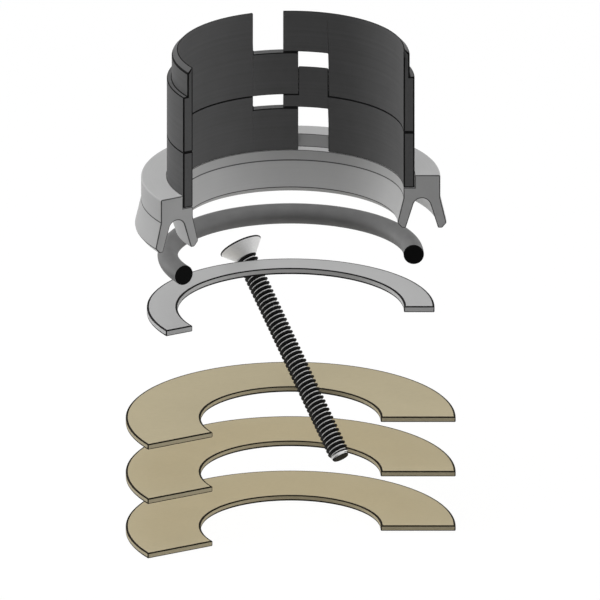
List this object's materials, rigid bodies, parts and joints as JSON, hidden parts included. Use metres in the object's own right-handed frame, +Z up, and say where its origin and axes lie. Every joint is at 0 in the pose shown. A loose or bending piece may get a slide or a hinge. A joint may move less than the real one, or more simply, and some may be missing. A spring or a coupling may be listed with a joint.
{
  "type": "rod seal",
  "caption": "Rod seal set in section: split bearing rings seated on a lip seal, with its energiser ring, a flat washer, shims and a countersunk screw spread along the rod's axis.",
  "frame": {"origin": "on the common axis of the rings, in the plane of the bottom shim's underside", "axes": "+Z up along the axis of the rings, -Y towards the sector that is cut out at the front, +X to the right"},
  "size_m": [0.0742, 0.0596, 0.1153],
  "materials": {
    "bearing": "smooth moulded filled plastic, dark grey",
    "seal": "satin urethane, mid grey",
    "energiser": "satin nitrile rubber, black",
    "washer": "fine ground steel",
    "screw": "dark thread under a bright head",
    "shim": "matte fibre sheet, tan"
  },
  "bodies": {
    "root": {"upper_bearing": "bearing", "lower_bearing": "bearing", "lip_seal": "seal", "energiser_ring": "energiser", "support_washer": "washer", "countersunk_screw": "screw", "top_shim": "shim", "middle_shim": "shim", "bottom_shim": "shim"}
  },
  "joints": []
}
